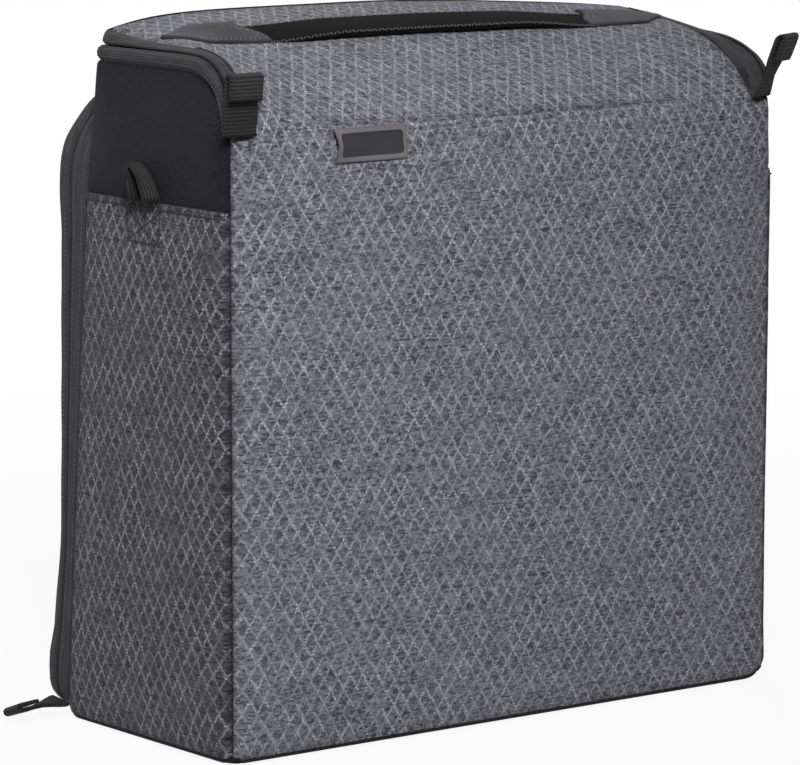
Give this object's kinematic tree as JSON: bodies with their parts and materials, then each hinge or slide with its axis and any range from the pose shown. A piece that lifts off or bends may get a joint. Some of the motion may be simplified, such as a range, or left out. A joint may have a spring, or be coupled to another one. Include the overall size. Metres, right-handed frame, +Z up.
{
  "type": "camera bag insert",
  "caption": "Padded box insert for camera gear, with a zipped lid hinged at the front, a zipped arched back door, padded shelves and dividers, a top handle and webbing tabs.",
  "frame": {"origin": "centre of the bottom face, on the surface that it stands on", "axes": "+Z up, -Y out of the front panel, +X to the right seen from the front"},
  "size_m": [0.3412, 0.1398, 0.3035],
  "materials": {
    "gray_shell": "heathered weave with a thin light lattice, over foam",
    "dark_gray_shell": "darker heathered weave with a thin light lattice, over foam",
    "softshell": "matt near-black knit over foam",
    "zip_tape": "black woven tape with a coated outer face",
    "zip_coil": "moulded black nylon coil",
    "slider_metal": "black enamel on die cast metal",
    "webbing": "black ribbed webbing",
    "leather_patch": "charcoal grained leather, stitched",
    "lining": "soft gray loop fabric",
    "divider": "soft gray loop fabric over foam",
    "label_fabric": "folded woven label, bare"
  },
  "bodies": {
    "tub": {"front_panel": "gray_shell", "bottom_panel": "softshell", "side_panel_left": "dark_gray_shell", "side_panel_right": "dark_gray_shell", "side_yoke_left": "softshell", "side_yoke_right": "softshell", "back_header": "softshell", "interior_lining": "lining", "upper_shelf": "divider", "lower_shelf": "divider", "lid_zip_tub_tape": "zip_tape", "lid_zip_tub_coil": "zip_coil", "back_zip_gusset": "zip_tape", "back_zip_gusset_coil": "zip_coil", "label": "label_fabric"},
    "lid": {"lid_panel": "gray_shell", "lid_lining": "lining", "lid_zip_lid_tape": "zip_tape", "lid_zip_lid_coil": "zip_coil", "handle_anchor_left": "leather_patch", "handle_anchor_right": "leather_patch"},
    "handle": {"handle_strap": "webbing"},
    "back_door": {"back_door_panel": "gray_shell", "back_door_lining": "lining", "back_zip_door_tape": "zip_tape", "back_zip_door_coil": "zip_coil"},
    "lid_slider_left": {"lid_slider_left": "slider_metal"},
    "lid_slider_right": {"lid_slider_right": "slider_metal"},
    "door_slider_left": {"door_slider_left": "slider_metal"},
    "door_slider_right": {"door_slider_right": "slider_metal"},
    "lid_pull_left": {"lid_pull_left": "webbing"},
    "lid_pull_right": {"lid_pull_right": "webbing"},
    "door_pull_left": {"door_pull_left": "webbing"},
    "door_pull_right": {"door_pull_right": "webbing"},
    "front_tab_left": {"front_tab_left": "webbing"},
    "front_tab_right": {"front_tab_right": "webbing"},
    "back_tab_left": {"back_tab_left": "webbing"},
    "back_tab_right": {"back_tab_right": "webbing"},
    "side_loop_left": {"side_loop_left": "webbing"},
    "side_loop_right": {"side_loop_right": "webbing"},
    "top_divider": {"top_divider": "divider"},
    "middle_divider_left": {"middle_divider_left": "divider"},
    "middle_divider_right": {"middle_divider_right": "divider"},
    "bottom_divider": {"bottom_divider": "divider"}
  },
  "joints": [
    {"name": "lid_hinge", "type": "hinge", "parent": "tub", "child": "lid", "pos_m": [0, -0.0602, 0.25765], "axis": [1, 0, 0], "range_deg": [0, 120]},
    {"name": "back_door_hinge", "type": "hinge", "parent": "tub", "child": "back_door", "pos_m": [0, 0.06774, 0.00363], "axis": [-1, 0, 0], "range_deg": [0, 110]},
    {"name": "handle_flex", "type": "hinge", "parent": "lid", "child": "handle", "pos_m": [0, 0.002, 0.29266], "axis": [1, 0, 0], "range_deg": [-8, 8]},
    {"name": "front_tab_left_bend", "type": "hinge", "parent": "lid", "child": "front_tab_left", "pos_m": [-0.1365, -0.0622, 0.2592], "axis": [1, 0, 0], "range_deg": [0, 45]},
    {"name": "front_tab_right_bend", "type": "hinge", "parent": "lid", "child": "front_tab_right", "pos_m": [0.14026, -0.06163, 0.2609], "axis": [0.9063, 0.4226, 0], "range_deg": [0, 45]},
    {"name": "back_tab_left_bend", "type": "hinge", "parent": "tub", "child": "back_tab_left", "pos_m": [-0.14556, 0.06341, 0.00759], "axis": [0, 1, 0], "range_deg": [0, 80]},
    {"name": "back_tab_right_bend", "type": "hinge", "parent": "tub", "child": "back_tab_right", "pos_m": [0.14556, 0.06341, 0.00759], "axis": [0, -1, 0], "range_deg": [0, 80]},
    {"name": "side_loop_left_bend", "type": "hinge", "parent": "tub", "child": "side_loop_left", "pos_m": [-0.1453, -0.005, 0.2263], "axis": [0, -1, 0], "range_deg": [0, 75]},
    {"name": "side_loop_right_bend", "type": "hinge", "parent": "tub", "child": "side_loop_right", "pos_m": [0.1453, -0.005, 0.2263], "axis": [0, 1, 0], "range_deg": [0, 75]},
    {"name": "lid_slider_left_run", "type": "slide", "parent": "tub", "child": "lid_slider_left", "axis": [1, 0, 0], "range_m": [-0.108, 0.008]},
    {"name": "lid_slider_right_run", "type": "slide", "parent": "tub", "child": "lid_slider_right", "axis": [1, 0, 0], "range_m": [-0.008, 0.108]},
    {"name": "door_slider_left_run", "type": "slide", "parent": "tub", "child": "door_slider_left", "axis": [1, 0, 0], "range_m": [-0.056, 0.008]},
    {"name": "door_slider_right_run", "type": "slide", "parent": "tub", "child": "door_slider_right", "axis": [1, 0, 0], "range_m": [-0.008, 0.056]},
    {"name": "lid_pull_left_swing", "type": "hinge", "parent": "lid_slider_left", "child": "lid_pull_left", "pos_m": [-0.014, 0.03905, 0.28821], "axis": [0, -0.0797, 0.9968], "range_deg": [-120, 0]},
    {"name": "lid_pull_right_swing", "type": "hinge", "parent": "lid_slider_right", "child": "lid_pull_right", "pos_m": [0.014, 0.03905, 0.28821], "axis": [0, -0.0797, 0.9968], "range_deg": [0, 120]},
    {"name": "door_pull_left_swing", "type": "hinge", "parent": "door_slider_left", "child": "door_pull_left", "pos_m": [-0.014, 0.0456, 0.28036], "axis": [0, -0.9968, -0.0797], "range_deg": [-120, 0]},
    {"name": "door_pull_right_swing", "type": "hinge", "parent": "door_slider_right", "child": "door_pull_right", "pos_m": [0.014, 0.0456, 0.28036], "axis": [0, -0.9968, -0.0797], "range_deg": [0, 120]},
    {"name": "top_divider_place", "type": "slide", "parent": "tub", "child": "top_divider", "axis": [1, 0, 0], "range_m": [-0.03, 0.03]},
    {"name": "middle_divider_left_place", "type": "slide", "parent": "tub", "child": "middle_divider_left", "axis": [1, 0, 0], "range_m": [-0.02, 0.02]},
    {"name": "middle_divider_right_place", "type": "slide", "parent": "tub", "child": "middle_divider_right", "axis": [1, 0, 0], "range_m": [-0.02, 0.02]},
    {"name": "bottom_divider_place", "type": "slide", "parent": "tub", "child": "bottom_divider", "axis": [1, 0, 0], "range_m": [-0.03, 0.03]}
  ]
}
